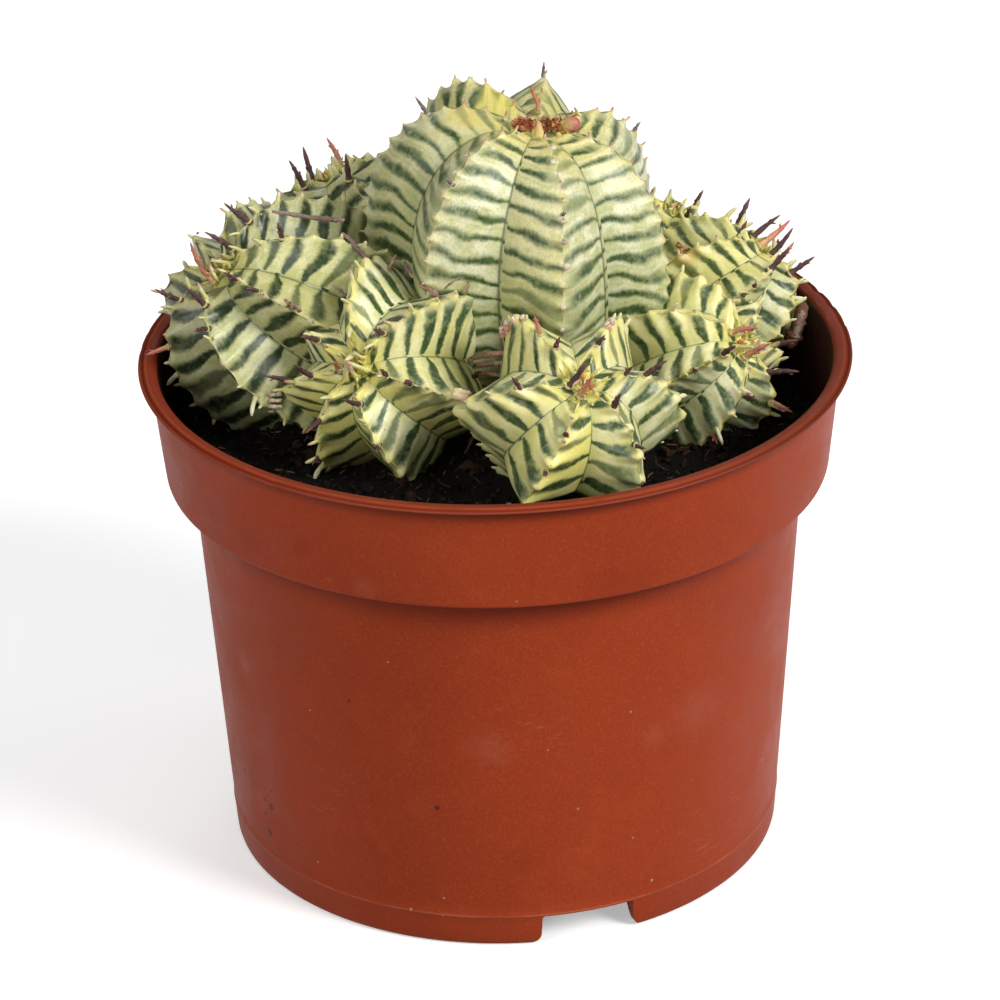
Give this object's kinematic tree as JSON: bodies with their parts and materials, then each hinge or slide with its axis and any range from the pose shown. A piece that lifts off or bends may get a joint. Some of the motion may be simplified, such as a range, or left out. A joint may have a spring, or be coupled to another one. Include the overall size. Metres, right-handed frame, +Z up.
{
  "type": "potted succulent",
  "caption": "Potted melon spurge: a ribbed, striped, clumping succulent with toothed offsets around a large stem, in a round terracotta-coloured nursery pot",
  "frame": {"origin": "middle of the pot's foot, on the surface it stands on", "axes": "+Z up; -Y is the front of the plant, +X its right as seen from the front"},
  "size_m": [0.12, 0.12, 0.1302],
  "materials": {
    "pot_plastic": "satin-matte injection-moulded plastic, terracotta orange, fine speckle",
    "potting_mix": "coarse dark peat crumbs and fibres",
    "stem_skin": "waxy living skin, cream and pale green with dark green cross stripes",
    "flower_stalk": "dry woody stalk, purple-brown to coral",
    "fruit_skin": "waxy pink-red skin",
    "dried_flower": "dry papery brown plant matter"
  },
  "bodies": {
    "root": {"crown_flower_remains": "dried_flower", "crown_stalk": "dried_flower", "dried_flower_back_right": "dried_flower", "fallen_stalk_left": "dried_flower", "flower_stalk_01": "flower_stalk", "flower_stalk_02": "flower_stalk", "flower_stalk_03": "flower_stalk", "flower_stalk_04": "flower_stalk", "flower_stalk_05": "flower_stalk", "flower_stalk_06": "flower_stalk", "flower_stalk_07": "flower_stalk", "flower_stalk_08": "flower_stalk", "flower_stalk_09": "flower_stalk", "flower_stalk_10": "flower_stalk", "flower_stalk_11": "flower_stalk", "flower_stalk_12": "flower_stalk", "flower_stalk_13": "flower_stalk", "flower_stalk_14": "flower_stalk", "flower_stalk_15": "flower_stalk", "flower_stalk_16": "flower_stalk", "flower_stalk_17": "flower_stalk", "flower_stalk_18": "flower_stalk", "flower_stalk_19": "flower_stalk", "flower_stalk_20": "flower_stalk", "flower_stalk_21": "flower_stalk", "flower_stalk_22": "flower_stalk", "flower_stalk_23": "flower_stalk", "flower_stalk_24": "flower_stalk", "flower_stalk_25": "flower_stalk", "flower_stalk_26": "flower_stalk", "flower_stalk_27": "flower_stalk", "flower_stalk_28": "flower_stalk", "flower_stalk_29": "flower_stalk", "flower_stalk_30": "flower_stalk", "flower_stalk_31": "flower_stalk", "flower_stalk_32": "flower_stalk", "flower_stalk_33": "flower_stalk", "flower_stalk_34": "flower_stalk", "flower_stalk_35": "flower_stalk", "flower_stalk_36": "flower_stalk", "main_stem": "stem_skin", "offset_back": "stem_skin", "offset_back_left": "stem_skin", "offset_back_right": "stem_skin", "offset_far_right": "stem_skin", "offset_front_left": "stem_skin", "offset_front_right": "stem_skin", "offset_left": "stem_skin", "offset_right": "stem_skin", "pot": "pot_plastic", "potting_mix": "potting_mix", "withered_stub": "dried_flower", "young_fruit": "fruit_skin"}
  },
  "joints": []
}
